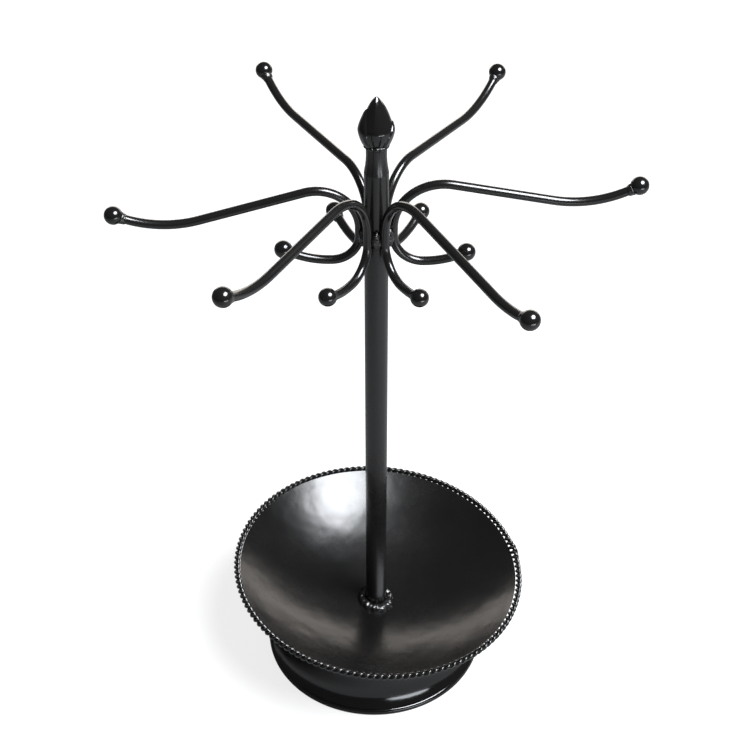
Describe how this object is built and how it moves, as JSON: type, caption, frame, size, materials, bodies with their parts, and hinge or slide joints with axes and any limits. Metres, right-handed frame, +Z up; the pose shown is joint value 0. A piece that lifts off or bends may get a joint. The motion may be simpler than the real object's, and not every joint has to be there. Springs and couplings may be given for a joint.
{
  "type": "mug tree",
  "caption": "Black painted steel mug tree: bent double-ended rods with ball tips round a tube with a bud finial, above a rope-edged dish on a drum foot.",
  "frame": {"origin": "on the post's axis, on the surface the foot stands on", "axes": "+Z up along the post, +X towards the right-hand arm, -Y towards the front"},
  "size_m": [0.3458, 0.3017, 0.4863],
  "materials": {
    "rod_lacquer": "semi-gloss black lacquer on bent steel rod, slightly grainy",
    "ball_lacquer": "glossy black lacquer on steel balls",
    "post_lacquer": "semi-gloss black lacquer on drawn tube",
    "finial_lacquer": "glossy black lacquer on a casting",
    "weld_lacquer": "black lacquer over rough weld, lumpy",
    "dish_lacquer": "satin black lacquer on spun sheet",
    "rope_lacquer": "black lacquer on twisted wire",
    "foot_lacquer": "glossy black lacquer on pressed sheet"
  },
  "bodies": {
    "root": {"arm_right": "rod_lacquer", "arm_back_right": "rod_lacquer", "arm_back_left": "rod_lacquer", "arm_left": "rod_lacquer", "arm_front_left": "rod_lacquer", "arm_front_right": "rod_lacquer", "ball_upper_right": "ball_lacquer", "ball_upper_back_right": "ball_lacquer", "ball_upper_back_left": "ball_lacquer", "ball_upper_left": "ball_lacquer", "ball_upper_front_left": "ball_lacquer", "ball_upper_front_right": "ball_lacquer", "ball_lower_right": "ball_lacquer", "ball_lower_back_right": "ball_lacquer", "ball_lower_back_left": "ball_lacquer", "ball_lower_left": "ball_lacquer", "ball_lower_front_left": "ball_lacquer", "ball_lower_front_right": "ball_lacquer", "post_tube": "post_lacquer", "finial_bud": "finial_lacquer", "finial_weld": "weld_lacquer", "ball_weld_beads": "weld_lacquer", "hub_weld_webs": "weld_lacquer", "post_foot_weld": "weld_lacquer", "base_weld": "weld_lacquer", "dish": "dish_lacquer", "rope_rim": "rope_lacquer", "base_drum": "foot_lacquer", "base_lip_ring": "foot_lacquer"}
  },
  "joints": []
}
